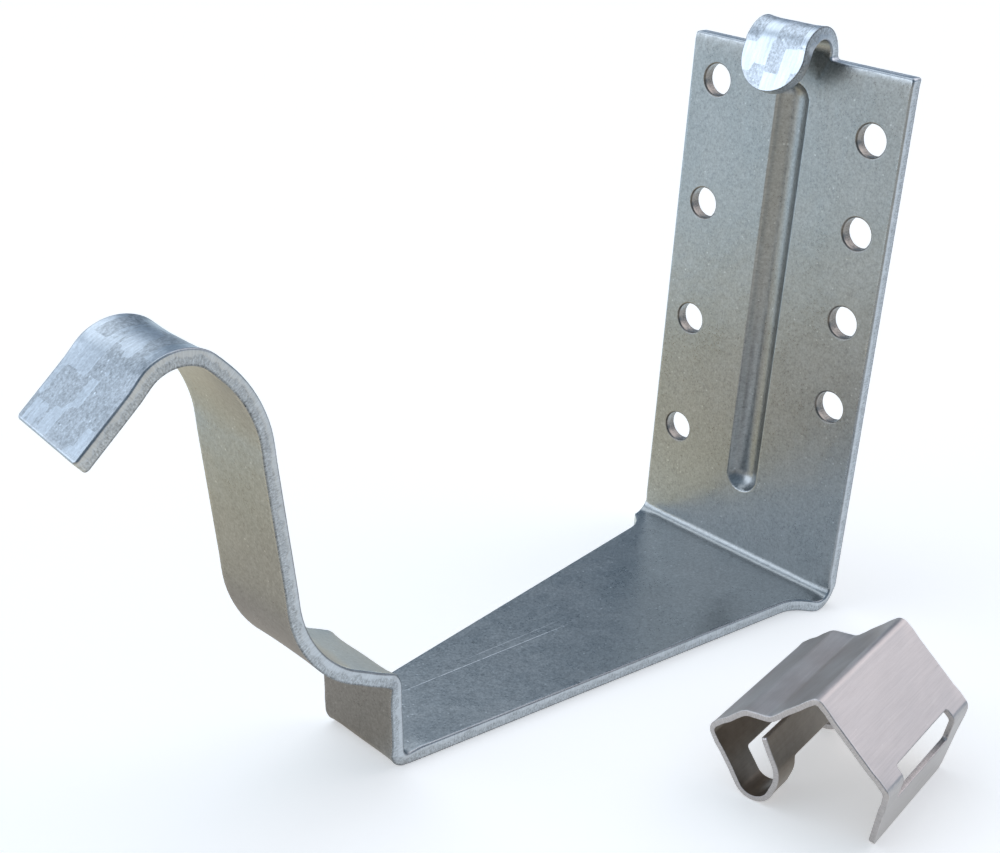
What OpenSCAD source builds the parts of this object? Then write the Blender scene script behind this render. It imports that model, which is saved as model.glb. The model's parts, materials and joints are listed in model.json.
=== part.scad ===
// Gutter bracket bent from one steel blank, with the sheet clip that locks the gutter's front bead.
// Back of the plate faces +Y, the gutter sits towards -Y, the base rests on Z = 0.

/* [Steel] */
// Thickness of the bracket's steel
steel_t = 3; // [2.5:0.1:4]

/* [Back plate] */
// Width of the back plate and of the bend below it
plate_w = 60; // [54:0.5:70]
// Height of the back plate's top edge above the surface that the base rests on
plate_h = 131.2; // [128:0.2:150]
// Inside radius of the bend between the plate and the base
heel_r = 2; // [1:0.5:4]
// Diameter of the screw holes
hole_d = 7.5; // [5:0.5:8]
// Distance between the two columns of holes
hole_columns = 44; // [38:0.5:46]
// Height of the lowest hole in the left column
left_low_z = 30.25; // [24:0.25:32]
// Pitch of the left column
left_pitch = 30.25; // [24:0.25:31]
// Height of the lowest hole in the right column
right_low_z = 51.5; // [44:0.5:54]
// Pitch of the right column
right_pitch = 21.5; // [16:0.25:22.5]

/* [Pressed groove] */
// Width of the groove at the plate's front face
groove_w = 8.7; // [6:0.1:11]
// Depth of the groove below the plate's front face
groove_depth = 3.1; // [2:0.1:4]
// Thickness of the drawn steel in the groove's wall
groove_t = 2.25; // [2:0.05:2.5]
// Height of the groove's lower end
groove_low_z = 20.3; // [14:0.1:26]
// Distance of the groove's upper end below the plate's top edge
groove_top_gap = 6.4; // [2:0.1:10]

/* [Tongue] */
// Width of the tongue that holds the gutter's back edge
tongue_w = 16.5; // [12:0.5:20]
// Inside radius of the tongue's bend
tongue_r = 3.2; // [2.5:0.1:5]
// Angle through which the tongue is bent
tongue_bend = 160; // [150:1:168]
// Straight length from the tongue's bend to its rounded tip
tongue_run = 11; // [10.5:0.1:13]

/* [Base] */
// Length from the plate's back face to the upstand's front face, halfway up the upstand
base_l = 129; // [120:0.5:150]
// Width of the taper where it leaves the shoulders
shoulder_w = 49.5; // [40:0.5:50]
// Distance in front of the plate's back face at which the taper has that width
taper_from = 15; // [12:0.5:20]
// Straight side of the base between the heel's bend and the shoulder's outer corner
heel_land = 0.5; // [0.2:0.1:2]
// Radius of each shoulder's outer corner
shoulder_out_r = 4; // [2:0.5:5]
// Radius of each shoulder's inner curve
shoulder_in_r = 9; // [7:0.5:12]

/* [Front strip] */
// Width of the strip where it turns up from the base
strip_w = 22; // [18:0.5:26]
// Width of the strip at the curl
strip_top_w = 19.5; // [16:0.5:22]
// Inside radius of the tight bends at the upstand's foot and top
toe_r = 1; // [0.5:0.5:2]
// Straight length of the upstand
upstand_l = 16.3; // [12:0.1:18]
// Angle by which the upstand leans outward
upstand_lean = 4.5; // [0:0.5:8]
// Angle by which the strip folds outward at the top of the upstand
fold_bend = 56; // [52:0.5:60]
// Straight length after that fold
sweep_l = 10.3; // [9:0.1:13]
// Centre line radius of the sweep that turns the strip upward
sweep_r = 29.5; // [26:0.5:34]
// Angle of the sweep
sweep_bend = 51.5; // [48:0.5:55]
// Straight length of the riser
riser_l = 33.7; // [28:0.1:38]
// Centre line radius where the riser starts to lean forward
brow_r = 29; // [24:0.5:34]
// Angle of that lean
brow_bend = 44; // [40:0.5:48]
// Centre line radius of the curl
curl_r = 9.4; // [8:0.1:12]
// Angle of the curl
curl_bend = 79; // [74:0.5:84]
// Straight length from the curl to the strip's tip
tip_l = 16.6; // [14:0.1:20]
// Angle by which the tip's cut is out of square
tip_skew = 4; // [0:0.5:6]

/* [Clip] */
// Thickness of the clip's stainless sheet
clip_t = 1.2; // [1:0.1:1.5]
// Length of the clip along its bends
clip_l = 40; // [36:0.5:44]
// Length of the two slots that the strip passes through
slot_l = 25; // [23:0.5:28]
// Narrowing of the lip at each of its ends
lip_taper = 3.2; // [1:0.1:4]

/* [Clip's place beside the bracket] */
// Distance of the clip's loop from the bracket's centre line
clip_x = 66.4; // [60:0.1:80]
// Distance of the clip's near end in front of the plate's back face
clip_front = 78.6; // [60:0.1:90]
// Turn of the clip about the vertical
clip_turn = 8.65; // [0:0.05:20]

/* [Hidden] */
$fn = 96;
// Distance by which a bent sheet's section may miss its true arc
arc_error = 0.02;

// Length that makes a cut run past both faces of a sheet
past = 1;
holes_per_column = 4;
steel_mid = steel_t / 2;
heel_out_r = heel_r + steel_t;
toe_mid_r = toe_r + steel_mid;
toe_out_r = toe_r + steel_t;
// Distance in front of the plate's back face at which the base starts to turn up
base_end = base_l - toe_out_r - upstand_l * sin(upstand_lean) / 2;

// Bends as [straight run, turn, centre line radius], each run before its turn.
// The strip starts inside the base, so that the two are one piece.
strip_root = 2;
strip_bends = [
    [strip_root, 90 - upstand_lean, toe_mid_r],
    [upstand_l, -fold_bend, toe_mid_r],
    [sweep_l, sweep_bend, sweep_r],
    [riser_l, -brow_bend, brow_r],
    [0, -curl_bend, curl_r],
    [tip_l, 0, 1],
];

// The tongue starts below the plate's top edge, so that it is one piece with the plate
tongue_root = 5;
tongue_rise = 1.3;
tongue_bends = [
    [tongue_root + tongue_rise, -tongue_bend, tongue_r + steel_mid],
    [tongue_run, 0, 1],
];

// The clip, from the free edge of its inner leg round the loop, over the crest and down its lip.
// The leg's free edge stands where it puts both the loop and the lip's edge on the surface.
leg_top = [-1.1, 15.7, -61.6];
leg_l = 6.3;
leg_r = 6;
leg_bend = 45;
loop_r = 3.85;
loop_bend = 126;
loop_l = 2.2;
cover_l = 19.7;
lip_l = 14.3;
lip_r = 1.6;
lip_bend = 59;
clip_bends = [
    [leg_l, -leg_bend, leg_r],
    [loop_l, -loop_bend, loop_r],
    [11.6, -85, 1.8],
    [7.3, -30, 3],
    [4, 31, 3],
    [10.3, -83, 1.2],
    [cover_l, -lip_bend, lip_r],
    [lip_l, 0, 1],
];
// The stretches that the two slots take out: from within the leg's bend round the loop and up its
// outer wall, and from just before the lip's bend to a little way down the lip
loop_slot_from = 12;
loop_slot_rise = 5;
loop_slot_start = [leg_l, -loop_slot_from, leg_r];
loop_slot_bends = [
    [0, loop_slot_from - leg_bend, leg_r],
    [loop_l, -loop_bend, loop_r],
    [loop_slot_rise, 0, 1],
];
lip_slot_lead = 1.6;
lip_slot_drop = 4.2;
lip_slot_bends = [
    [lip_slot_lead, -lip_bend, lip_r],
    [lip_slot_drop, 0, 1],
];

// Position and heading [x, y, angle] after one entry of a list of bends
function after(pose, bend) =
    let (
        r = bend[2],
        side = sign(bend[1]),
        a = pose[2],
        b = a + bend[1]
    )
    [
        pose[0] + bend[0] * cos(a) + side * r * (sin(b) - sin(a)),
        pose[1] + bend[0] * sin(a) - side * r * (cos(b) - cos(a)),
        b,
    ];

// Position and heading after the first n entries
function pose_after(bends, n, pose) =
    n == 0 ? pose : after(pose_after(bends, n - 1, pose), bends[n - 1]);

// Poses along one entry, after its run and then at equal steps round its bend
function poses_along(pose, bend) =
    let (steps = ceil(abs(bend[1]) / (2 * acos(1 - arc_error / bend[2]))))
    [
        if (bend[0] > 0) after(pose, [bend[0], 0, 1]),
        for (k = [1:1:steps]) after(pose, [bend[0], bend[1] * k / steps, bend[2]]),
    ];

// Poses along a whole bent sheet
function sheet_poses(pose, bends) =
    concat([pose], [for (n = [0:len(bends) - 1]) each poses_along(pose_after(bends, n, pose), bends[n])]);

// Point at a distance to the left of a pose
function beside(pose, d) = [pose[0] - d * sin(pose[2]), pose[1] + d * cos(pose[2])];

// Section of a bent sheet of thickness t
module sheet_section(t, pose, bends) {
    poses = sheet_poses(pose, bends);
    last = len(poses) - 1;
    polygon(concat(
        [for (p = poses) beside(p, t / 2)],
        [for (k = [last:-1:0]) beside(poses[k], -t / 2)]
    ));
}

// Extrudes a side view, drawn as [distance in front of the plate's back, height], across the bracket
module across(width) {
    rotate([90, 0, -90])
        linear_extrude(width, center = true)
            children();
}

// Rounded bar that stands along Z between two heights
module capsule(r, low_z, high_z) {
    translate([0, 0, low_z])
        cylinder(r = r, h = high_z - low_z);
    for (z = [low_z, high_z])
        translate([0, 0, z])
            sphere(r);
}

// One column of screw holes through the plate
module hole_column(x, low_z, pitch) {
    for (k = [0:holes_per_column - 1])
        translate([x, past, low_z + k * pitch])
            rotate([90, 0, 0])
                cylinder(d = hole_d, h = steel_t + 2 * past);
}

// Plate with the groove pressed into its front and standing out at its back
module back_plate() {
    half_w = groove_w / 2;
    groove_r = (half_w * half_w + groove_depth * groove_depth) / (2 * groove_depth);
    groove_y = groove_r - groove_depth;
    rib_r = groove_r + groove_t;
    low_z = groove_low_z + half_w;
    high_z = plate_h - groove_top_gap - half_w;
    difference() {
        union() {
            translate([-plate_w / 2, -steel_t, heel_out_r])
                cube([plate_w, steel_t, plate_h - heel_out_r]);
            intersection() {
                translate([0, -steel_t - groove_y, 0])
                    capsule(rib_r, low_z, high_z);
                translate([-plate_w / 2, -steel_mid, 0])
                    cube([plate_w, 2 * steel_t, plate_h]);
            }
        }
        translate([0, -steel_t - groove_y, 0])
            capsule(groove_r, low_z, high_z);
        hole_column(-hole_columns / 2, left_low_z, left_pitch);
        hole_column(hole_columns / 2, right_low_z, right_pitch);
    }
}

// Tongue bent over from the middle of the plate's top edge, with a round tip
module tongue() {
    root = [steel_mid, plate_h - tongue_root, 90];
    tip = pose_after(tongue_bends, 2, root);
    difference() {
        across(tongue_w)
            sheet_section(steel_t, root, tongue_bends);
        translate([0, -tip[0], tip[1]])
            rotate([-tip[2], 0, 0])
                linear_extrude(2 * steel_t, center = true)
                    difference() {
                        translate([-tongue_w, -past])
                            square([2 * tongue_w, past + tongue_w / 2]);
                        translate([0, tongue_w / 2])
                            circle(d = tongue_w);
                    }
    }
}

// Bend between the plate and the base
module heel() {
    across(plate_w)
        intersection() {
            translate([heel_out_r, heel_out_r])
                difference() {
                    circle(heel_out_r);
                    circle(heel_r);
                }
            square(heel_out_r);
        }
}

// Half of the base's outline, with X the distance from the centre line and Y the distance in front
module base_half() {
    // The taper line, as its distance from the centre at the plate's back and its fall
    fall = (shoulder_w - strip_w) / 2 / (base_end - taper_from);
    taper_back = shoulder_w / 2 + fall * taper_from;
    taper_angle = atan(fall);
    // Centres of the outer and the inner curve of the shoulder, which touch each other
    out_c = [plate_w / 2 - shoulder_out_r, heel_out_r + heel_land];
    reach = shoulder_out_r + shoulder_in_r;
    gap = taper_back + shoulder_in_r / cos(taper_angle) - out_c[0] - fall * out_c[1];
    norm = 1 + fall * fall;
    step = (gap * fall + sqrt(pow(gap * fall, 2) - norm * (gap * gap - reach * reach))) / norm;
    in_c = out_c + [gap - fall * step, step];
    touch = out_c + (in_c - out_c) * shoulder_out_r / reach;
    leave = in_c - shoulder_in_r * [cos(taper_angle), sin(taper_angle)];
    difference() {
        union() {
            translate([0, heel_out_r])
                square([plate_w / 2, heel_land]);
            translate(out_c)
                intersection() {
                    circle(shoulder_out_r);
                    square(shoulder_out_r);
                }
            polygon([
                [0, heel_out_r],
                [out_c[0], heel_out_r],
                out_c,
                touch,
                leave,
                [strip_w / 2, base_end],
                [0, base_end],
            ]);
        }
        translate(in_c)
            circle(shoulder_in_r);
    }
}

// Flat base with its shoulders and taper
module base() {
    linear_extrude(steel_t)
        for (side = [0, 1])
            mirror([side, 0])
                mirror([0, 1])
                    base_half();
}

// Everything beyond the tip's cut, which turns about the strip's right edge
module beyond_tip(start) {
    tip = pose_after(strip_bends, len(strip_bends), start);
    translate([strip_top_w / 2, -tip[0], tip[1]])
        rotate([-tip[2], 0, 0])
            rotate([0, 0, -tip_skew])
                translate([-2 * strip_w, -strip_w / 2, -steel_t])
                    cube([2 * strip_w + past, strip_w / 2, 2 * steel_t]);
}

// Strip from the base's front edge: upstand, outward fold, sweep, riser and curl
module front_strip() {
    start = [base_end - strip_root, steel_mid, 0];
    curl_z = pose_after(strip_bends, 4, start)[1];
    reach = 100;
    difference() {
        intersection() {
            across(strip_w)
                sheet_section(steel_t, start, strip_bends);
            translate([0, strip_root + past - base_end, 0])
                rotate([90, 0, 0])
                    linear_extrude(reach)
                        polygon([
                            [-strip_w / 2, -past],
                            [strip_w / 2, -past],
                            [strip_w / 2, toe_out_r],
                            [strip_top_w / 2, curl_z],
                            [strip_top_w / 2, plate_h],
                            [-strip_top_w / 2, plate_h],
                            [-strip_top_w / 2, curl_z],
                            [-strip_w / 2, toe_out_r],
                        ]);
        }
        beyond_tip(start);
    }
}

module bracket() {
    color([0.60, 0.64, 0.66])
        translate([0, base_l / 2, 0])
            union() {
                back_plate();
                tongue();
                heel();
                base();
                front_strip();
            }
}

// Extrudes a side view of the clip along the clip's bends, between two distances from its near end
module along_clip(from, to) {
    translate([0, to, 0])
        rotate([90, 0, 0])
            linear_extrude(to - from)
                children();
}

// Opening through the sheet over a stretch of a list of bends
module slot(pose, bends) {
    cut_t = 1.7 * clip_t;
    along_clip((clip_l - slot_l) / 2, (clip_l + slot_l) / 2)
        sheet_section(cut_t, pose, bends);
}

// Wedge that takes one end of the lip back towards its free edge
module lip_end(corner_z) {
    depth = 8;
    chamfer = 1.2;
    rotate([90, 0, 90])
        linear_extrude(depth)
            polygon([
                [-past, corner_z],
                [0, corner_z],
                [lip_taper, chamfer],
                [lip_taper + chamfer, -past],
                [-past, -past],
            ]);
}

module clip() {
    lead = [cover_l - lip_slot_lead, 0, 1];
    lip_top = pose_after(clip_bends, 7, leg_top);
    color([0.78, 0.77, 0.79])
        translate([clip_x, base_l / 2 - clip_front, 0])
            rotate([0, 0, clip_turn])
                difference() {
                    along_clip(0, clip_l)
                        sheet_section(clip_t, leg_top, clip_bends);
                    slot(after(leg_top, loop_slot_start), loop_slot_bends);
                    slot(after(pose_after(clip_bends, 6, leg_top), lead), lip_slot_bends);
                    for (far_end = [0, 1])
                        translate([lip_top[0] - 4, far_end * clip_l, 0])
                            mirror([0, far_end, 0])
                                lip_end(lip_top[1]);
                }
}

bracket();
clip();
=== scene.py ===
"""Looks of the gutter bracket and its clip: two bent sheets, their metal, and a pale studio."""

import json
import math

import bpy
import numpy as np
from mathutils import Matrix, Vector
from mathutils.geometry import delaunay_2d_cdt


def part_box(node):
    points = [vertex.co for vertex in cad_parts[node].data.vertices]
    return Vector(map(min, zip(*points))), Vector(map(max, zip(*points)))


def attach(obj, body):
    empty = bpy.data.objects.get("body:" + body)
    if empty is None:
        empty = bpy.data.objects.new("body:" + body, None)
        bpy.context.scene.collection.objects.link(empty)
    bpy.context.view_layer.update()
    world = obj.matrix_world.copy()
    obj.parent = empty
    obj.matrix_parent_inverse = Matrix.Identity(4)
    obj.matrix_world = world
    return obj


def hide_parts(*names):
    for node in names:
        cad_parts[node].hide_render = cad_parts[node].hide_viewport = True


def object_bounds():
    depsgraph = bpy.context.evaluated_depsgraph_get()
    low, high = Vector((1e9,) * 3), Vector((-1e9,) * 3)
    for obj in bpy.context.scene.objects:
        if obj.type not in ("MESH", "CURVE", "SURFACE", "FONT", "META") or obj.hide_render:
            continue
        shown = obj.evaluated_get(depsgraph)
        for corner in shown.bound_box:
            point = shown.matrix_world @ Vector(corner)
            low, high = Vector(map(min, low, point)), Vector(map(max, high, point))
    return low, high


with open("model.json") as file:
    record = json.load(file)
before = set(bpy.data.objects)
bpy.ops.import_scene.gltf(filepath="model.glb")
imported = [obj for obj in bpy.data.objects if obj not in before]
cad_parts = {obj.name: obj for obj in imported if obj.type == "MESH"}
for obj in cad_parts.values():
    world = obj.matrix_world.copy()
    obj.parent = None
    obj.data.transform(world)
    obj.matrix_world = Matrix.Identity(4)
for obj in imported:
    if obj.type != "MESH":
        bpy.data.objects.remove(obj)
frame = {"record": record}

CAD_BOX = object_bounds()
MM = 0.001
MOUNTS = frame["record"]["mounts"]
HOLES = [m for m in MOUNTS if m["kind"] == "bore"]

# ---------------------------------------------------------------- sizes, in millimetres
# A bend is (straight run, turn in degrees, centre line radius), its run before its turn.

STEEL_T = 3.0
PLATE_W = 60.0
PLATE_H = 131.2
HEEL_R = 2.0 + STEEL_T / 2
BASE_BACK = HEEL_R + STEEL_T / 2
TONGUE_W = 16.5
TONGUE_RUN = 11.0
TONGUE_TURN = 160.0
TONGUE_R = 3.2 + STEEL_T / 2
TONGUE_RISE = 1.3
UPSTAND_L = 16.3
UPSTAND_LEAN = 4.5
STRIP_BENDS = [
    (UPSTAND_L, -56.0, 2.5),
    (10.3, 51.5, 29.5),
    (33.7, -44.0, 29.0),
    (0.0, -79.0, 9.4),
    (16.6, 0.0, 1.0),
]
STRIP_W = 22.0
STRIP_FAR_HALF = 11.2
BASE_FAR_HALF = 11.9
STRIP_TIP_W = 19.5
TIP_SKEW = 4.0
TOE_R = 2.5
BASE_L = 129.0
BASE_END = BASE_L - TOE_R - STEEL_T / 2 - UPSTAND_L * math.sin(math.radians(UPSTAND_LEAN)) / 2
# The shoulders' outer and inner corners: distance from the centre line, from the plate's back, radius
SHOULDERS = [(PLATE_W / 2, 7.5, 4.0), (25.25, 11.0, 8.6)]

# Rounding of the sheared edges at the front face and at the back
STEEL_FRONT_R = 0.42
STEEL_BACK_R = 0.16
# Wear of the curl's coating, where the tongue's is 1
CURL_WEAR = 0.75
# Scratches on the base: both ends as (across, in front of the plate's back), half width, strength
SCRATCHES = [
    ((-6.6, 117.0), (-1.6, 58.0), 0.16, 0.85),
    ((-6.8, 96.0), (-4.3, 60.0), 0.12, 0.6),
]

GROOVE_W = 8.7
GROOVE_DEPTH = 3.1
GROOVE_LOW_Z = 20.3
GROOVE_TOP_GAP = 6.4
# Steel left around the pressed groove, and how softly its edges run into the plate
GROOVE_WALL = 2.25
GROOVE_BLEND = 0.35

CLIP_T = 1.2
CLIP_L = 40.0
CLIP_TURN = 8.65
# The inner leg's end: forward, up, and the way the sheet runs from there in degrees
CLIP_START = (-1.1, 15.7, -61.6)
CLIP_BENDS = [
    (6.3, -45.0, 6.0),
    (2.2, -126.0, 3.85),
    (11.6, -85.0, 1.8),
    (7.3, -30.0, 3.0),
    (4.0, 31.0, 3.0),
    (10.3, -83.0, 1.2),
    (19.7, -59.0, 1.6),
    (14.3, 0.0, 1.0),
]
SLOT_L = 25.0
SLOT_R = 0.7
# The loop's slot: degrees into the first bend where it starts, and how far past the second it ends
LOOP_SLOT = (12.0, 5.0)
# The lip's slot: how far before the last bend it starts, and how far past that bend it ends
LIP_SLOT = (1.6, 4.2)
# How far the lip's sides come in by its end, and the chamfer at its corners
LIP_TAPER = 3.2
LIP_CHAMFER = 1.2
CLIP_FRONT_R = 0.2
CLIP_BACK_R = 0.08


# ---------------------------------------------------------------- a sheet's centre line


class Spine:
    """The centre line of a bent sheet seen from the side, measured along the sheet."""

    def __init__(self, start, bends):
        self.parts = []
        self.ends = []
        u, z, heading = start
        heading = math.radians(heading)
        s = 0.0
        for run, turn, radius in bends:
            arc = math.radians(abs(turn)) * radius
            for length, curve in ((run, 0.0), (arc, math.copysign(1 / radius, turn))):
                if length > 0:
                    self.parts.append((s, length, u, z, heading, curve))
                    u, z, heading = self.step((u, z, heading, curve), length)
                    s += length
            self.ends.append(s)
        self.length = s

    @staticmethod
    def step(part, d):
        """Position and heading a distance d into a run or an arc."""
        u, z, heading, curve = part
        if curve == 0.0:
            return u + d * math.cos(heading), z + d * math.sin(heading), heading
        turned = heading + curve * d
        return (
            u + (math.sin(turned) - math.sin(heading)) / curve,
            z - (math.cos(turned) - math.cos(heading)) / curve,
            turned,
        )

    def at(self, s):
        """Position and heading at the distances s along the sheet."""
        starts = np.array([p[0] for p in self.parts])
        k = np.clip(np.searchsorted(starts, s, side="right") - 1, 0, len(self.parts) - 1)
        found = [self.step(self.parts[i][2:], d) for i, d in zip(k, s - starts[k])]
        return np.array(found).T

    def rows(self, flat_step, bend_step):
        """Distances along the sheet, close together in its bends."""
        rows = [0.0]
        for s, length, _, _, _, curve in self.parts:
            if curve:
                n = math.ceil(math.degrees(abs(curve) * length) / bend_step)
            else:
                n = math.ceil(length / flat_step)
            rows += [s + length * (i + 1) / n for i in range(n)]
        return np.array(rows)

    def curve(self, s, reach):
        """Mean turn to the left within a reach of s, in radians per millimetre."""
        ahead = self.at(np.minimum(s + reach, self.length))[2]
        behind = self.at(np.maximum(s - reach, 0.0))[2]
        return (ahead - behind) / (2 * reach)


# ---------------------------------------------------------------- flat outlines


def rounded_loop(corners, arc_step=9.0):
    """Closed outline through corners (x, s, radius), each rounded to its radius."""
    points = []
    count = len(corners)
    for i, (x, s, radius) in enumerate(corners):
        here = np.array([x, s])
        back = np.array(corners[i - 1][:2]) - here
        on = np.array(corners[(i + 1) % count][:2]) - here
        back /= np.linalg.norm(back)
        on /= np.linalg.norm(on)
        turn = math.pi - math.acos(np.clip(back @ on, -1, 1))
        if radius <= 0 or turn < 1e-3:
            points.append(here)
            continue
        middle = back + on
        centre = here + middle / np.linalg.norm(middle) * radius / math.cos(turn / 2)
        first = here + back * radius * math.tan(turn / 2) - centre
        side = math.copysign(1, -back[0] * on[1] + back[1] * on[0])
        n = max(2, math.ceil(math.degrees(turn) / arc_step))
        for k in range(n + 1):
            a = side * turn * k / n
            spun = [
                first[0] * math.cos(a) - first[1] * math.sin(a),
                first[0] * math.sin(a) + first[1] * math.cos(a),
            ]
            points.append(centre + spun)
    return np.array(points)


def cut_at_rows(loop, rows, across_step=2.2):
    """Adds points to an outline's straight stretches where the rows cross them."""
    points = []
    for a, b in zip(loop, np.roll(loop, -1, axis=0)):
        points.append(a)
        dx, ds = b - a
        if abs(ds) < 1e-6:
            n = math.ceil(abs(dx) / across_step)
            shares = np.arange(1, n) / n
        else:
            shares = (rows - a[1]) / ds
            clear = 0.12 / abs(ds)
            shares = np.sort(shares[(shares > clear) & (shares < 1 - clear)])
        points += [a + (b - a) * share for share in shares]
    return np.array(points)


def circle_loop(x, s, radius, count=56):
    """Round hole, wound the other way from an outline."""
    a = -2 * math.pi * np.arange(count) / count
    return np.stack([x + radius * np.cos(a), s + radius * np.sin(a)], axis=1)


def inset(loop, distance):
    """Moves an outline into the metal, which lies on its left."""
    ahead = np.roll(loop, -1, axis=0) - loop
    ahead /= np.linalg.norm(ahead, axis=1)[:, None]
    behind = np.roll(ahead, 1, axis=0)
    left = np.stack([-ahead[:, 1] - behind[:, 1], ahead[:, 0] + behind[:, 0]], axis=1)
    left *= 2 / np.sum(left * left, axis=1)[:, None]
    return loop + left * distance


def distance_to(points, loop):
    """Distance of each point from the nearest edge of an outline."""
    best = np.full(len(points), 1e9)
    for a, b in zip(loop, np.roll(loop, -1, axis=0)):
        ab = b - a
        t = np.clip((points - a) @ ab / (ab @ ab), 0, 1)
        best = np.minimum(best, np.hypot(*(points - a - t[:, None] * ab).T))
    return best


def inside(points, loops):
    """Whether each point lies in the metal: inside an odd number of outlines."""
    odd = np.zeros(len(points), bool)
    x, s = points.T
    for loop in loops:
        for (ax, as_), (bx, bs) in zip(loop, np.roll(loop, -1, axis=0)):
            if as_ != bs:
                crosses = (as_ > s) != (bs > s)
                odd ^= crosses & (x < ax + (s - as_) * (bx - ax) / (bs - as_))
    return odd


# ---------------------------------------------------------------- a bent sheet

# Sideways swelling at a bend's ends over the strain there, how far in it fades, and the greatest
# lift of a bend's sides, all as multiples of the sheet's thickness
SWELL = 0.30
SWELL_FADE = 0.6
LIFT = 0.15


def rim_profile(half_t, front_r, back_r, steps=5):
    """Section of a cut edge as (distance into the metal, height), from the front face to the back."""
    angles = [math.pi / 2 * k / steps for k in range(steps + 1)]
    front = [(front_r * (1 - math.sin(a)), half_t - front_r * (1 - math.cos(a))) for a in angles]
    back = [(back_r * (1 - math.sin(a)), back_r * (1 - math.cos(a)) - half_t) for a in angles]
    return front + back[::-1]


def bend_swell(to_edge, height, spine, s, thickness):
    """Sideways shift at a bend's ends: its inner face swells outward, its outer face draws in."""
    strain = spine.curve(s, 1.2) * height
    return SWELL * thickness * strain * np.exp(-to_edge / (SWELL_FADE * thickness))


def edge_lift(to_edge, spine, s, thickness):
    """Lift of the sheet's sides away from the centre of a bend, which leaves a shallow trough."""
    curve = spine.curve(s, 3.0)
    sharp = np.maximum(np.abs(curve), 1e-4)
    most = LIFT * thickness * np.minimum(1.0, np.minimum(sharp / 0.08, 0.12 / sharp))
    turn = 1.285 * np.sqrt(sharp / thickness) * to_edge
    return -np.sign(curve) * most * np.exp(-turn) * (np.cos(turn) - np.sin(turn))


def bent_sheet(name, loops, spine, thickness, rims, grid, press, place, floor_z):
    """Builds a sheet from its flat outlines: the first is its edge, the others its holes.

    grid gives the points between the edges, press how far the two faces are pushed back at each
    point, and place turns (across, forward, up) in millimetres into the row frame.
    """
    half_t = thickness / 2
    front_r, back_r = rims
    rim = rim_profile(half_t, front_r, back_r)
    support = max(front_r, back_r) + 0.12
    inner = [inset(loop, support) for loop in loops]
    grid = np.unique(grid.round(4), axis=0)
    grid = grid[inside(grid, inner)]
    clear = np.min([distance_to(grid, loop) for loop in inner], axis=0)
    grid = grid[clear > 0.35]

    face_points = np.vstack(inner + [grid])
    edges = []
    first = 0
    for loop in inner:
        count = len(loop)
        edges += [(first + i, first + (i + 1) % count) for i in range(count)]
        first += count
    made = delaunay_2d_cdt([Vector(p) for p in face_points], edges, [], 0, 1e-7, False)
    flat = np.array([tuple(v) for v in made[0]])
    triangles = np.array(made[2])
    triangles = triangles[inside(flat[triangles].mean(axis=1), inner)]
    assert len(flat) == len(face_points)

    count = len(flat)
    points = [np.column_stack([flat, np.full(count, half_t)])]
    points.append(np.column_stack([flat, np.full(count, -half_t)]))
    shares = [np.zeros(2 * count)]
    in_hole = [np.zeros(2 * count)]
    faces = [tuple(t) for t in triangles]
    faces += [tuple(t[::-1] + count) for t in triangles]
    total = 2 * count
    start = 0
    for loop, ring in zip(loops, inner):
        n = len(loop)
        rings = [np.arange(start, start + n)]
        for into, height in rim:
            ring_points = inset(loop, into)
            points.append(np.column_stack([ring_points, np.full(n, height)]))
            on_face = abs(abs(height) - half_t) < 1e-9
            shares.append(np.full(n, 0.35 if on_face else 1.0))
            in_hole.append(np.full(n, float(loop is not loops[0])))
            rings.append(np.arange(total, total + n))
            total += n
        rings.append(np.arange(start, start + n) + count)
        for upper, lower in zip(rings, rings[1:]):
            ahead_u, ahead_l = np.roll(upper, -1), np.roll(lower, -1)
            faces += [tuple(q) for q in np.stack([upper, lower, ahead_l, ahead_u], axis=1)]
        start += n

    sheet = np.vstack(points)
    x, s, height = sheet.T
    u, z, heading = spine.at(s)
    pushed = press(x, s, height)
    to_edge = distance_to(sheet[:, :2], loops[0])
    middle = (loops[0][:, 0].min() + loops[0][:, 0].max()) / 2
    n = height - pushed + edge_lift(to_edge, spine, s, thickness)
    wide = x + np.sign(x - middle) * bend_swell(to_edge, height, spine, s, thickness)
    world = place(wide, u - n * np.sin(heading), np.maximum(z + n * np.cos(heading), floor_z))

    mesh = bpy.data.meshes.new(name)
    mesh.from_pydata(world.tolist(), [], [[int(i) for i in f] for f in faces])
    mesh.validate()
    mesh.update()
    add_attribute(mesh, "sheet", "FLOAT_VECTOR", sheet * MM)
    add_attribute(mesh, "rim", "FLOAT", np.concatenate(shares))
    add_attribute(mesh, "hole", "FLOAT", np.concatenate(in_hole))
    add_attribute(mesh, "bend", "FLOAT", spine.curve(s, 0.9) * half_t)
    add_attribute(mesh, "to_edge", "FLOAT", to_edge)
    mesh.shade_smooth()
    piece = bpy.data.objects.new(name, mesh)
    bpy.context.scene.collection.objects.link(piece)
    weighted = piece.modifiers.new("even_faces", "WEIGHTED_NORMAL")
    weighted.weight = 100
    return piece


def add_attribute(mesh, name, kind, values):
    """Stores one value or vector per vertex for the materials to read."""
    attribute = mesh.attributes.new(name, kind, "POINT")
    key = "vector" if kind == "FLOAT_VECTOR" else "value"
    attribute.data.foreach_set(key, np.asarray(values, np.float32).ravel())


def grid_points(rows, columns):
    """Every crossing of the rows and the columns."""
    return np.array([(x, s) for s in rows for x in columns])


# ---------------------------------------------------------------- bracket


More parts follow.
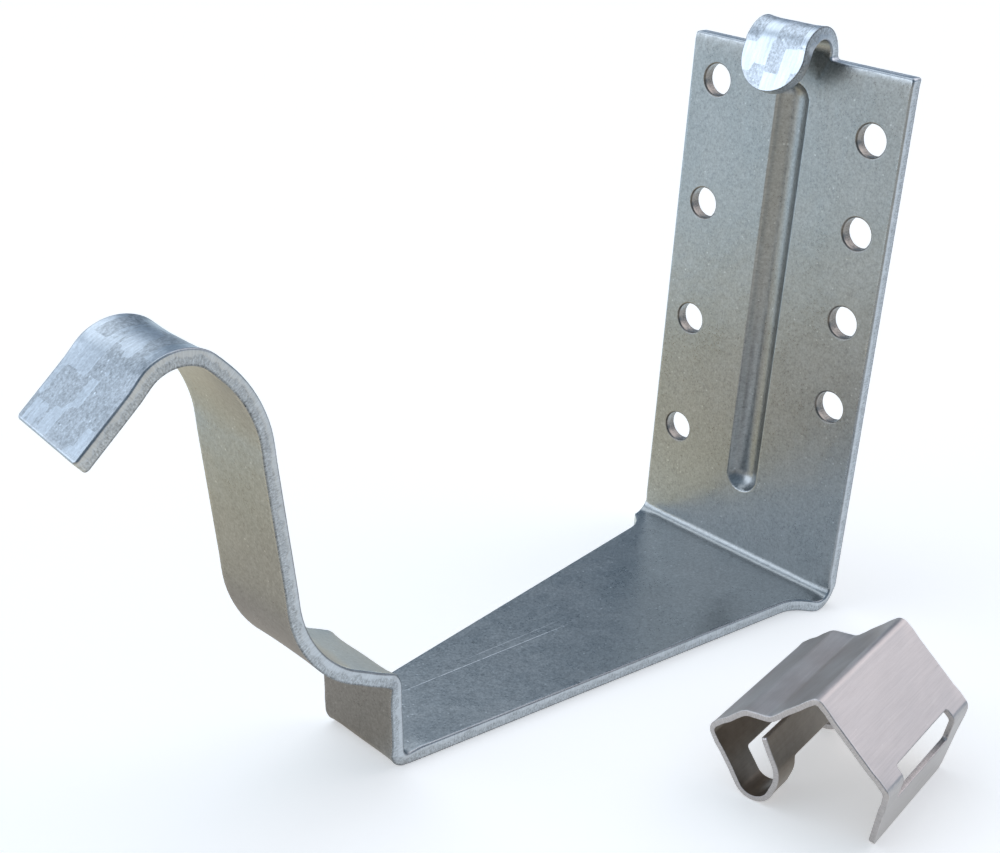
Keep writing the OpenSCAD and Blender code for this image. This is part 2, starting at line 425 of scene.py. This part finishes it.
def bracket_spine():
    """From the tongue's tip over and down the plate, along the base and up the strip."""
    heading = math.radians(90 - TONGUE_TURN)
    bend_z = PLATE_H + TONGUE_RISE
    bend_u = STEEL_T / 2
    end_u = bend_u + TONGUE_R * (1 - math.cos(math.radians(TONGUE_TURN)))
    end_z = bend_z + TONGUE_R * math.sin(math.radians(TONGUE_TURN))
    start = (
        end_u + TONGUE_RUN * math.cos(heading),
        end_z + TONGUE_RUN * math.sin(heading),
        270 - TONGUE_TURN,
    )
    bends = [
        (TONGUE_RUN, TONGUE_TURN, TONGUE_R),
        (bend_z - BASE_BACK, 90, HEEL_R),
        (BASE_END - BASE_BACK, 90 - UPSTAND_LEAN, TOE_R),
    ]
    return Spine(start, bends + STRIP_BENDS)


class Blank:
    """The bracket's flat blank, before it is bent.

    x runs across it from its centre line, and s along it from the tongue's tip to the strip's tip.
    """

    def __init__(self):
        self.spine = bracket_spine()
        self.tongue_s, self.heel_s = self.spine.ends[:2]
        self.top_s = self.tongue_s + TONGUE_RISE
        self.curl_s = self.spine.ends[-3]
        self.rows = self.spine.rows(3.2, 3.6)
        self.groove_lo = self.at_height(PLATE_H - GROOVE_TOP_GAP - GROOVE_W / 2)
        self.groove_hi = self.at_height(GROOVE_LOW_Z + GROOVE_W / 2)

    def at_height(self, z):
        """Distance along the sheet of a height on the plate."""
        return self.top_s + PLATE_H - z

    def at_front(self, h):
        """Distance along the sheet of a place on the base, h in front of the plate's back."""
        return self.heel_s + h - BASE_BACK

    def outline(self):
        """The sheared edge all round, with its far side slightly unlike its near side."""
        half_w, tongue_half, tip_half = PLATE_W / 2, TONGUE_W / 2, STRIP_TIP_W / 2
        shared = [
            (tongue_half, 0.0, tongue_half - 0.05),
            (tongue_half, self.top_s, 0.9),
            (half_w, self.top_s, 0.7),
            *[(x, self.at_front(h), r) for x, h, r in SHOULDERS],
        ]
        right = shared + [
            (STRIP_W / 2, self.at_front(BASE_END), 12.0),
            (tip_half, self.curl_s, 12.0),
            (tip_half, self.spine.length, 0.9),
        ]
        tip_far_s = self.spine.length - STRIP_TIP_W * math.tan(math.radians(TIP_SKEW))
        left = [(-x, s, r) for x, s, r in shared]
        left += [
            (-BASE_FAR_HALF, self.at_front(BASE_END - 4), 3.0),
            (-STRIP_FAR_HALF, self.at_front(BASE_END), 3.0),
            (-tip_half, self.curl_s, 12.0),
            (-tip_half, tip_far_s, 0.9),
        ]
        return cut_at_rows(rounded_loop(right + left[::-1]), self.rows)

    def holes(self):
        """The screw holes, from the bracket's mounts."""
        places = [(m["pos_m"], m["dims"]["r_mm"]) for m in HOLES]
        return [circle_loop(x / MM, self.at_height(z / MM), radius) for (x, _, z), radius in places]

    def grid(self):
        """Points between the edges, close together in and around the groove."""
        half_w, groove_half = PLATE_W / 2, GROOVE_W / 2
        rows = self.rows
        near_groove = 1.75 * groove_half
        end_rows = np.arange(-1.4, 1.41, 0.08) * groove_half
        body_rows = rows[(rows > self.groove_lo + 7) & (rows < self.groove_hi - 7)]
        groove_rows = np.concatenate([self.groove_lo + end_rows, self.groove_hi + end_rows, body_rows])
        fine_columns = np.arange(-24, 25) / 24 * near_groove
        outer_columns = np.arange(near_groove + 1.3, half_w, 2.6)
        wide_columns = np.concatenate([-outer_columns[::-1], outer_columns])
        coarse_columns = np.arange(-12, 13) / 12 * half_w
        plate = (rows > self.top_s - 1) & (rows < self.heel_s - 14)
        return np.vstack(
            [
                grid_points(rows[~plate], coarse_columns),
                grid_points(rows[plate], wide_columns),
                grid_points(groove_rows, fine_columns),
            ]
        )

    def press(self, x, s, height):
        """Depth of the groove at its front face, and of the rib that it raises behind."""
        groove_r = ((GROOVE_W / 2) ** 2 + GROOVE_DEPTH**2) / (2 * GROOVE_DEPTH)
        axis_out = groove_r - GROOVE_DEPTH
        beyond = np.maximum(np.maximum(self.groove_lo - s, s - self.groove_hi), 0)
        away = np.hypot(x, beyond)
        depths = []
        for radius, out in ((groove_r, axis_out), (groove_r + GROOVE_WALL, axis_out + STEEL_T)):
            bowl = np.sqrt(np.maximum(radius**2 - away**2, 0)) - out
            depths.append(smooth_floor(bowl, GROOVE_BLEND))
        share = np.clip(0.5 + height / STEEL_T, 0, 1)
        return depths[0] * share + depths[1] * (1 - share)

    def wear(self, s, height):
        """How far the zinc is worn: on the tongue's outside, and on the curl's at CURL_WEAR."""
        back = np.clip(0.5 - height / STEEL_T, 0, 1)
        tongue = np.clip((self.tongue_s - 1 - s) / 4, 0, 1) * back
        curl = np.clip((s - self.curl_s + 2) / 5, 0, 1) * (1 - back)
        return np.maximum(tongue, CURL_WEAR * curl)

    def scratches(self):
        """The scratches on the base, with their ends turned into (x, s)."""
        found = []
        for *ends, half_width, strength in SCRATCHES:
            found.append(([(x, self.at_front(h)) for x, h in ends], half_width, strength))
        return found


def build_bracket(blank):
    """The bracket: the blank pressed, bent and set against the screw holes' places."""
    plate_y = HOLES[0]["pos_m"][1] / MM

    def place(x, u, z):
        return np.column_stack([x, plate_y + STEEL_T / 2 - u, z]) * MM

    loops = [blank.outline()] + blank.holes()
    rims = (STEEL_FRONT_R, STEEL_BACK_R)
    piece = bent_sheet(
        "bracket_sheet", loops, blank.spine, STEEL_T, rims, blank.grid(), blank.press, place, 0.0
    )
    s, height = (np.array([v.vector for v in piece.data.attributes["sheet"].data]) / MM)[:, 1:].T
    add_attribute(piece.data, "worn", "FLOAT", blank.wear(s, height))
    return piece


def smooth_floor(value, blend):
    """The value where it is above zero, eased into zero over a small blend."""
    return np.where(value > blend, value, np.maximum(value + blend, 0) ** 2 / (4 * blend))


# ---------------------------------------------------------------- clip


def build_clip():
    """The clip, centred in its body's box, and where its crest ends along the sheet."""
    spine = Spine(CLIP_START, CLIP_BENDS)
    lip_s = spine.ends[-2]
    end_s = spine.length
    lip_in = LIP_TAPER * (1 - LIP_CHAMFER / (end_s - lip_s))
    near = [
        (0.0, 0.0, 0.5),
        (0.0, lip_s, 2.0),
        (lip_in, end_s - LIP_CHAMFER, 0.4),
        (lip_in + LIP_CHAMFER, end_s, 0.4),
    ]
    far = [(CLIP_L - x, s, r) for x, s, r in near]
    slot_lo = (CLIP_L - SLOT_L) / 2
    slot_hi = slot_lo + SLOT_L
    loop_slot = (
        CLIP_BENDS[0][0] + math.radians(LOOP_SLOT[0]) * CLIP_BENDS[0][2],
        spine.ends[1] + LOOP_SLOT[1],
    )
    lip_slot = (spine.ends[5] + CLIP_BENDS[6][0] - LIP_SLOT[0], lip_s + LIP_SLOT[1])
    slots = []
    for a, b in (loop_slot, lip_slot):
        corners = [(slot_lo, a), (slot_lo, b), (slot_hi, b), (slot_hi, a)]
        slots.append(rounded_loop([(x, s, SLOT_R) for x, s in corners]))
    rows = spine.rows(2.0, 5.0)
    grid = grid_points(rows, np.arange(1, 24) / 24 * CLIP_L)
    edge = rounded_loop(far + near[::-1])
    loops = [cut_at_rows(loop, rows, 1.8) for loop in [edge] + slots]
    lo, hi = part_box("clip")
    turn = Matrix.Rotation(math.radians(CLIP_TURN), 3, "Z")

    def place(x, u, z):
        return np.column_stack([u, x, z]) @ np.array(turn).T * MM

    def press(x, s, height):
        return np.zeros_like(x)

    rims = (CLIP_FRONT_R, CLIP_BACK_R)
    piece = bent_sheet("clip_sheet", loops, spine, CLIP_T, rims, grid, press, place, -math.inf)
    points = np.array([v.co for v in piece.data.vertices])
    shift = (np.array(lo) + np.array(hi) - points.min(axis=0) - points.max(axis=0)) / 2
    piece.data.transform(Matrix.Translation(shift))
    return piece, spine.ends[5]


# ---------------------------------------------------------------- materials


class Nodes:
    """Builds the nodes of a material or a world.

    Each method gives back a socket, and takes sockets or plain values. A place is a position on the
    sheet, and sizes are the millimetres of one grain across, along and through the sheet.
    """

    def __init__(self, owner):
        owner.use_nodes = True
        self.tree = owner.node_tree
        self.shader = self.tree.nodes.get("Principled BSDF")

    def set(self, socket, value):
        if isinstance(value, bpy.types.NodeSocket):
            self.tree.links.new(value, socket)
        elif isinstance(value, tuple) and len(value) == 3 and socket.type == "RGBA":
            socket.default_value = (*value, 1)
        else:
            socket.default_value = value

    def attribute(self, name, output="Fac"):
        node = self.tree.nodes.new("ShaderNodeAttribute")
        node.attribute_name = name
        return node.outputs[output]

    def math(self, operation, a, b=0.0):
        node = self.tree.nodes.new("ShaderNodeMath")
        node.operation = operation
        self.set(node.inputs[0], a)
        self.set(node.inputs[1], b)
        return node.outputs[0]

    def add(self, *values):
        total = values[0]
        for value in values[1:]:
            total = self.math("ADD", total, value)
        return total

    def times(self, *values):
        total = values[0]
        for value in values[1:]:
            total = self.math("MULTIPLY", total, value)
        return total

    def centred(self, value, size):
        """A value that runs from 0 to 1, made to run from -size to size."""
        return self.times(self.math("SUBTRACT", value, 0.5), 2 * size)

    def step(self, value, low, high):
        """0 below low and 1 above high, or the other way round where low is above high."""
        node = self.tree.nodes.new("ShaderNodeMapRange")
        node.interpolation_type = "SMOOTHSTEP"
        flip = low > high
        self.set(node.inputs["Value"], value)
        node.inputs["From Min"].default_value = min(low, high)
        node.inputs["From Max"].default_value = max(low, high)
        node.inputs["To Min"].default_value = 1.0 if flip else 0.0
        node.inputs["To Max"].default_value = 0.0 if flip else 1.0
        return node.outputs["Result"]

    def mix(self, share, a, b):
        node = self.tree.nodes.new("ShaderNodeMixRGB")
        for key, value in (("Fac", share), ("Color1", a), ("Color2", b)):
            self.set(node.inputs[key], value)
        return node.outputs["Color"]

    def pair(self, operation, a, b):
        """Two colours or vectors, added or multiplied part by part."""
        node = self.tree.nodes.new("ShaderNodeVectorMath")
        node.operation = operation
        self.set(node.inputs[0], a)
        self.set(node.inputs[1], b)
        return node.outputs[0]

    def shade(self, colour, factor):
        """A colour made lighter or darker by a factor."""
        node = self.tree.nodes.new("ShaderNodeVectorMath")
        node.operation = "SCALE"
        self.set(node.inputs[0], colour)
        self.set(node.inputs["Scale"], factor)
        return node.outputs[0]

    def stretched(self, place, sizes):
        """The place on the sheet, divided by the size in millimetres of one grain each way."""
        node = self.tree.nodes.new("ShaderNodeVectorMath")
        node.operation = "MULTIPLY"
        self.set(node.inputs[0], place)
        node.inputs[1].default_value = tuple(1 / (MM * size) for size in sizes)
        return node.outputs[0]

    def noise(self, place, sizes, detail=2.0, roughness=0.5):
        node = self.tree.nodes.new("ShaderNodeTexNoise")
        self.set(node.inputs["Vector"], self.stretched(place, sizes))
        node.inputs["Scale"].default_value = 1.0
        node.inputs["Detail"].default_value = detail
        node.inputs["Roughness"].default_value = roughness
        return node.outputs["Fac"]

    def cells(self, place, sizes):
        """Distance from the middle of scattered cells."""
        node = self.tree.nodes.new("ShaderNodeTexVoronoi")
        self.set(node.inputs["Vector"], self.stretched(place, sizes))
        node.inputs["Scale"].default_value = 1.0
        return node.outputs["Distance"]

    def blocks(self, place, sizes):
        """A value that is even within each of many nearly square-sided patches."""
        node = self.tree.nodes.new("ShaderNodeTexVoronoi")
        node.distance = "CHEBYCHEV"
        self.set(node.inputs["Vector"], self.stretched(place, sizes))
        node.inputs["Scale"].default_value = 1.0
        node.inputs["Randomness"].default_value = 0.55
        return self.split(node.outputs["Color"])[0]

    def dot(self, vector, toward):
        """Share of a direction that points toward another."""
        node = self.tree.nodes.new("ShaderNodeVectorMath")
        node.operation = "DOT_PRODUCT"
        self.set(node.inputs[0], vector)
        node.inputs[1].default_value = Vector(toward).normalized()
        return node.outputs["Value"]

    def distance(self, place, middle):
        """Distance of a place from a fixed one."""
        node = self.tree.nodes.new("ShaderNodeVectorMath")
        node.operation = "DISTANCE"
        self.set(node.inputs[0], place)
        node.inputs[1].default_value = middle
        return node.outputs["Value"]

    def seen(self):
        """1 where the camera sees the surface itself, and 0 where it is reflected or gives light."""
        return self.tree.nodes.new("ShaderNodeLightPath").outputs["Is Camera Ray"]

    def split(self, vector):
        node = self.tree.nodes.new("ShaderNodeSeparateXYZ")
        self.set(node.inputs[0], vector)
        return node.outputs[:3]

    def bump(self, height, distance, under=None):
        """Relief of a height that runs from 0 to 1, over a distance in millimetres."""
        node = self.tree.nodes.new("ShaderNodeBump")
        node.inputs["Strength"].default_value = 1.0
        node.inputs["Distance"].default_value = distance * MM
        self.set(node.inputs["Height"], height)
        if under is not None:
            self.set(node.inputs["Normal"], under)
        return node.outputs["Normal"]

    def line(self, x, s, ends, half_width):
        """1 along a straight scratch between two points of the sheet, given in millimetres."""
        (x0, s0), (x1, s1) = ends
        length = math.hypot(x1 - x0, s1 - s0)
        ux, us = (x1 - x0) / length, (s1 - s0) / length
        dx = self.math("SUBTRACT", x, x0 * MM)
        ds = self.math("SUBTRACT", s, s0 * MM)
        along = self.add(self.times(dx, ux), self.times(ds, us))
        off = self.math("ABSOLUTE", self.math("SUBTRACT", self.times(dx, us), self.times(ds, ux)))
        near = self.step(off, half_width * MM, 0.0)
        end = 0.25 * length
        started = self.step(along, 0.0, end * MM)
        stopped = self.step(along, length * MM, (length - end) * MM)
        return self.times(near, started, stopped)

    def finish(self, colour, roughness, normal):
        """Makes the surface a bare metal of this colour, roughness and relief."""
        self.set(self.shader.inputs["Base Color"], colour)
        self.shader.inputs["Metallic"].default_value = 1.0
        self.set(self.shader.inputs["Roughness"], roughness)
        self.set(self.shader.inputs["Normal"], normal)


# Zinc: its face in darker and lighter clouds, where it is worn, painted highlights in blocks on the
# worn zinc, and along the corners wear with a painted highlight
ZINC_DARK = (0.38, 0.41, 0.425)
ZINC_LIGHT = (0.405, 0.415, 0.42)
ZINC_WORN = (0.545, 0.592, 0.65)
ZINC_PAINTED_HIGHLIGHT = (0.65, 0.71, 0.78)
ZINC_CORNER_WEAR_AND_HIGHLIGHT = (0.56, 0.59, 0.62)
SCRATCH = (0.95, 0.97, 1.0)
# Sheared steel: the band that the blade drew along, the torn band, and the wall of a hole, painted
# darker and browner as shade in the hole
CUT_DRAWN = (0.695, 0.75, 0.815)
CUT_TORN = (0.615, 0.665, 0.72)
HOLE_WALL_SHADE = (0.40, 0.375, 0.35)
# Height of the line between the drawn and the torn band, and how sharp it is, in millimetres
TEAR_LOW = 0.05
TEAR_HIGH = 0.55


def galvanised_steel(scratches):
    """Zinc-coated rolled steel: soft clouds, a fine bright grain, worn bends with painted highlights,
    and sheared edges.
    """
    material = bpy.data.materials.new("galvanised_steel")
    n = Nodes(material)
    place = n.attribute("sheet", "Vector")
    x, s, height = n.split(place)
    rim = n.attribute("rim")
    worn = n.attribute("worn")
    to_edge = n.attribute("to_edge")
    on_cut = n.step(rim, 0.5, 0.95)

    cloud = n.noise(place, (17, 22, 17), 3.0)
    mottle = n.noise(place, (3.4, 4.2, 3.4), 3.0, 0.6)
    grain = n.noise(place, (0.42, 0.5, 0.42), 2.0, 0.65)
    fleck = n.noise(place, (0.9, 1.1, 0.9), 2.0, 0.6)
    rolled = n.noise(place, (0.3, 16, 0.3), 2.0)

    # Small bright flecks of zinc, and a few darker marks
    thick = n.step(n.noise(place, (5, 7, 5), 3.0, 0.7), 0.50, 0.58)
    bright = n.times(n.step(n.cells(place, (1.7, 1.7, 1.7)), 0.18, 0.08), thick)
    dark = n.times(n.step(n.cells(place, (6.1, 7.3, 6.1)), 0.10, 0.03), 0.35)
    lines = 0.0
    for ends, half_width, strength in scratches:
        broken = n.step(n.noise(place, (0.5, 2.2, 0.5), 2.0), 0.25, 0.45)
        scratch = n.times(n.line(x, s, ends, half_width), broken, strength)
        lines = n.math("MAXIMUM", lines, scratch)

    # Painted highlights on the worn zinc: bright blocks streaked along the sheet, standing in for
    # reflected light
    streak = n.noise(place, (0.55, 6.5, 2.0), 2.0, 0.6)
    patch = n.blocks(place, (3.6, 6.5, 40))
    painted_highlight = n.step(n.add(patch, n.centred(streak, 0.10), n.centred(fleck, 0.06)), 0.50, 0.56)
    painted_highlight = n.times(painted_highlight, worn)
    # Lighter corners: partly wear of the zinc, partly a painted highlight along the rounded edges
    corner = n.add(to_edge, n.centred(mottle, 1.1))
    edge_wear_and_highlight = n.times(n.step(corner, 0.95, 0.25), n.step(rim, 0.9, 0.5))

    value = n.add(
        0.94,
        n.centred(cloud, 0.10),
        n.centred(mottle, 0.05),
        n.centred(grain, 0.42),
        n.centred(fleck, 0.18),
        n.centred(rolled, 0.05),
        n.times(bright, 0.45),
        n.times(dark, -0.45),
        n.times(worn, n.add(n.centred(fleck, 0.12), n.centred(grain, 0.34))),
    )
    highlight_value = n.add(0.96, n.centred(streak, 0.28), n.centred(grain, 0.22))
    face = n.shade(n.mix(cloud, ZINC_DARK, ZINC_LIGHT), value)
    face = n.mix(worn, face, n.shade(ZINC_WORN, value))
    # Painted highlights laid over the worn zinc
    face = n.mix(painted_highlight, face, n.shade(ZINC_PAINTED_HIGHLIGHT, highlight_value))
    face = n.mix(n.times(edge_wear_and_highlight, 0.35), face, ZINC_CORNER_WEAR_AND_HIGHLIGHT)
    face = n.mix(lines, face, SCRATCH)

    tear = n.add(height, n.centred(n.noise(place, (2.5, 2.5, 9.0), 2.0), 1.6 * MM))
    torn = n.step(tear, TEAR_HIGH * MM, TEAR_LOW * MM)
    crumble = n.noise(place, (0.35, 0.35, 0.55), 3.0, 0.7)
    drawn = n.noise(place, (0.28, 0.28, 4.0), 2.0)
    corners = n.step(n.math("ABSOLUTE", height), 1.0 * MM, 1.35 * MM)
    cut_value = n.add(
        0.96,
        n.times(torn, n.centred(crumble, 0.8)),
        n.centred(drawn, 0.22),
        n.centred(mottle, 0.15),
        n.times(corners, -0.42),
    )
    cut = n.shade(n.mix(torn, CUT_DRAWN, CUT_TORN), cut_value)
    # The hole walls get a darker brown as painted shade
    cut = n.mix(n.attribute("hole"), cut, n.shade(HOLE_WALL_SHADE, cut_value))

    roughness = n.add(
        0.315,
        n.centred(cloud, 0.05),
        n.centred(mottle, 0.05),
        n.centred(grain, 0.09),
        n.times(worn, 0.13),
        n.times(painted_highlight, -0.08),
        n.times(edge_wear_and_highlight, -0.06),
        n.times(torn, on_cut, 0.12),
    )
    relief = n.bump(cloud, 0.30)
    relief = n.bump(mottle, 0.05, relief)
    relief = n.bump(grain, 0.012, relief)
    relief = n.bump(n.times(on_cut, torn, crumble), 0.10, relief)
    relief = n.bump(n.math("MAXIMUM", lines, n.times(bright, 0.6)), 0.02, relief)
    n.finish(n.mix(on_cut, face, cut), roughness, relief)
    return material


# Stainless: its outside in darker and lighter clouds, the painted shade on the loop's side, the inside
# painted dark brown as shade, the corners with a painted highlight and the sheared edge
STAINLESS_DARK = (0.645, 0.615, 0.615)
STAINLESS_LIGHT = (0.68, 0.65, 0.65)
STAINLESS_LOOP_SHADE = (0.47, 0.41, 0.395)
STAINLESS_INSIDE_SHADE_DARK = (0.30, 0.26, 0.225)
STAINLESS_INSIDE_SHADE_LIGHT = (0.42, 0.37, 0.32)
STAINLESS_CORNER_HIGHLIGHT = (0.82, 0.79, 0.78)
STAINLESS_CUT = (0.62, 0.585, 0.58)
# The inner leg carries the inside's painted shade on both sides up to about here along the sheet, in
# millimetres
SHADED_LEG = (17, 12)
# The painted shade on the loop's side fades out over this much of the crest, in millimetres
LOOP_SHADE_FADE = 1.5


def stainless_sheet(crest_s):
    """Cold-rolled stainless: silvery and brushed along the clip, rougher on its inner side, which is
    painted dark brown as shade.
    """
    material = bpy.data.materials.new("stainless_sheet")
    n = Nodes(material)
    place = n.attribute("sheet", "Vector")
    _, s, height = n.split(place)
    rim = n.attribute("rim")
    on_cut = n.step(rim, 0.5, 0.95)
    bend = n.math("ABSOLUTE", n.attribute("bend"))
    to_edge = n.attribute("to_edge")

    cloud = n.noise(place, (13, 9, 9), 2.0)
    brushed = n.noise(place, (7.0, 0.16, 0.16), 3.0, 0.65)
    hair = n.noise(place, (16, 0.4, 0.4), 2.0, 0.6)
    mottle = n.noise(place, (2.2, 1.6, 1.6), 3.0, 0.6)
    grain = n.noise(place, (0.3, 0.3, 0.3), 2.0)
    scuff = n.times(n.step(n.cells(place, (3.4, 1.7, 1.7)), 0.10, 0.03), n.step(cloud, 0.45, 0.6))

    # Painted shade: the inner side, and both sides of the inner leg, are coloured dark brown
    shaded_leg = n.step(s, *[end * MM for end in SHADED_LEG])
    inner = n.math("MAXIMUM", n.step(height, 0.1 * MM, -0.1 * MM), shaded_leg)
    outer = n.mix(cloud, STAINLESS_DARK, STAINLESS_LIGHT)
    # The loop's side is painted darker and warmer than the cover: painted shade
    loop_side = n.step(s, crest_s * MM, (crest_s - LOOP_SHADE_FADE) * MM)
    loop_shade = n.times(loop_side, n.add(0.75, n.centred(cloud, 0.9)))
    outer = n.mix(loop_shade, outer, STAINLESS_LOOP_SHADE)
    inside_shade = n.mix(mottle, STAINLESS_INSIDE_SHADE_DARK, STAINLESS_INSIDE_SHADE_LIGHT)
    value = n.add(
        0.98,
        n.centred(brushed, 0.16),
        n.centred(hair, 0.10),
        n.centred(mottle, 0.06),
        n.centred(grain, 0.06),
        n.times(scuff, 0.15),
    )
    face = n.shade(n.mix(inner, outer, inside_shade), value)
    # Lighter outer corners: a painted highlight along the rounded edges
    corner = n.add(to_edge, n.centred(mottle, 0.8))
    edge_wear_and_highlight = n.times(n.step(corner, 0.6, 0.1), n.step(inner, 1.0, 0.0))
    face = n.mix(n.times(edge_wear_and_highlight, 0.5), face, STAINLESS_CORNER_HIGHLIGHT)
    cut_value = n.add(0.95, n.centred(n.noise(place, (0.25, 0.25, 1.2), 3.0, 0.7), 0.45))
    cut = n.shade(STAINLESS_CUT, cut_value)

    roughness = n.add(
        0.34,
        n.centred(brushed, 0.10),
        n.centred(mottle, 0.05),
        n.times(n.step(bend, 0.05, 0.3), 0.05),
        n.times(inner, 0.08),
    )
    relief = n.bump(brushed, 0.012)
    relief = n.bump(hair, 0.012, relief)
    relief = n.bump(cloud, 0.12, relief)
    torn = n.times(on_cut, n.noise(place, (0.3, 0.3, 0.6), 3.0, 0.7))
    relief = n.bump(torn, 0.05, relief)
    n.finish(n.mix(on_cut, face, cut), roughness, relief)
    return material


# ---------------------------------------------------------------- studio

CAMERA_AZIMUTH = 44.258
CAMERA_ELEVATION = 24.77
CAMERA_ROLL = 3.532
CAMERA_PLACE = (0.203505, -0.236450, 0.198053)
CAMERA_LENS = 55.92

# The floor as the camera sees it: its colour and its own soft glow
FLOOR_SEEN = (0.88, 0.865, 0.85)
FLOOR_GLOW = (0.40, 0.40, 0.40)
# The floor as the metal reflects it, painted in shade around the bracket: its middle, then the painted
# tones from the middle outward, to the bracket's right and the painted shade in front of its right
# corner
FLOOR_CENTRE = (-0.03, -0.07, 0.0)
FLOOR_SHADED = (0.60, 0.525, 0.45)
FLOOR_WARM = (1.0, 0.875, 0.62)
FLOOR_COOL = (1.0, 1.14, 1.20)
FLOOR_RIGHT = (0.84, 0.85, 0.84)
FLOOR_FRONT_SHADE = (0.80, 0.72, 0.60)
# Shares of those tones that the floor reflects and gives off
REFLECTED_SHARE = 0.6
GLOW_SHARE = 0.45
FLOOR_REACH = 6.0


def build_camera():
    data = bpy.data.cameras.new("camera")
    data.lens = CAMERA_LENS
    data.sensor_width = 36.0
    data.clip_start = 0.01
    data.clip_end = 50.0
    camera = bpy.data.objects.new("camera", data)
    camera.location = CAMERA_PLACE
    turn = Matrix.Rotation(math.radians(CAMERA_AZIMUTH), 3, "Z")
    tilt = Matrix.Rotation(math.radians(90 - CAMERA_ELEVATION), 3, "X")
    roll = Matrix.Rotation(math.radians(CAMERA_ROLL), 3, "Z")
    camera.rotation_euler = (turn @ tilt @ roll).to_euler()
    bpy.context.scene.collection.objects.link(camera)
    bpy.context.scene.camera = camera


def build_floor():
    mesh = bpy.data.meshes.new("floor")
    low_z = CAD_BOX[0].z
    square = [(-1, -1), (1, -1), (1, 1), (-1, 1)]
    corners = [(x * FLOOR_REACH, y * FLOOR_REACH, low_z) for x, y in square]
    mesh.from_pydata(corners, [], [(0, 1, 2, 3)])
    floor = bpy.data.objects.new("floor", mesh)
    mesh.materials.append(floor_material())
    bpy.context.scene.collection.objects.link(floor)


def floor_material():
    """Plain and pale to the camera, and painted in soft tones of shade and light where the metal
    reflects it.
    """
    material = bpy.data.materials.new("floor")
    n = Nodes(material)
    place = n.tree.nodes.new("ShaderNodeTexCoord").outputs["Object"]
    away = n.distance(place, FLOOR_CENTRE)
    right = n.split(place)[0]
    front = n.dot(place, (1, -1, 0))
    tone = n.mix(n.step(away, 0.02, 0.11), FLOOR_SHADED, FLOOR_WARM)
    tone = n.mix(n.step(away, 0.08, 0.19), tone, FLOOR_COOL)
    tone = n.mix(n.step(right, -0.002, 0.018), tone, FLOOR_RIGHT)
    # Painted shade on the floor in front of the bracket's right corner, seen in reflections
    tone = n.mix(n.step(front, 0.07, 0.16), tone, FLOOR_FRONT_SHADE)
    colour = n.mix(n.seen(), n.shade(tone, REFLECTED_SHARE), FLOOR_SEEN)
    glow = n.mix(n.seen(), n.shade(tone, GLOW_SHARE), FLOOR_GLOW)
    n.set(n.shader.inputs["Base Color"], colour)
    n.set(n.shader.inputs["Emission Color"], glow)
    n.shader.inputs["Emission Strength"].default_value = 1.0
    n.shader.inputs["Roughness"].default_value = 0.9
    n.shader.inputs["Specular IOR Level"].default_value = 0.1
    return material


# The studio's even light, and the backdrop that the camera sees
SKY = (0.235, 0.31, 0.39)
BACKDROP = (0.95, 0.95, 0.95)
# Soft patches of light around the studio: direction, where each starts and is full, its colour
GLOWS = [
    ((-0.62, -0.77, 0.10), 0.72, 0.97, (1.55, 1.66, 1.80)),
    ((0.15, 0.72, 0.68), 0.78, 0.97, (1.02, 0.90, 0.86)),
    ((-0.49, 0.09, 0.87), 0.80, 0.97, (1.20, 1.26, 1.32)),
]
# The room's darker sides: direction, where each starts and is full, and how much light it keeps
SHADES = [
    ((0.70, -0.70, -0.05), 0.45, 0.90, (0.75, 0.75, 0.75)),
    ((-0.60, 0.70, 0.33), 0.80, 0.98, (0.70, 0.74, 0.78)),
]


def build_world():
    """A white backdrop to the camera, and a studio of soft light to the metal."""
    world = bpy.data.worlds.new("studio")
    bpy.context.scene.world = world
    n = Nodes(world)
    direction = n.tree.nodes.new("ShaderNodeTexCoord").outputs["Generated"]
    light = SKY
    for toward, start, full, colour in GLOWS:
        share = n.step(n.dot(direction, toward), start, full)
        light = n.pair("ADD", light, n.shade(colour, share))
    for toward, start, full, kept in SHADES:
        share = n.step(n.dot(direction, toward), start, full)
        light = n.pair("MULTIPLY", light, n.mix(share, (1.0, 1.0, 1.0), kept))
    n.set(n.tree.nodes["Background"].inputs["Color"], n.mix(n.seen(), light, BACKDROP))


blank = Blank()
bracket = build_bracket(blank)
clip, crest_s = build_clip()
bracket.data.materials.append(galvanised_steel(blank.scratches()))
clip.data.materials.append(stainless_sheet(crest_s))
for piece, node, slot in ((bracket, "bracket", "galvanised_steel"), (clip, "clip", "stainless_sheet")):
    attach(piece, node)
    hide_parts(node)

build_camera()
build_floor()
build_world()
bpy.context.scene.view_settings.view_transform = "Standard"
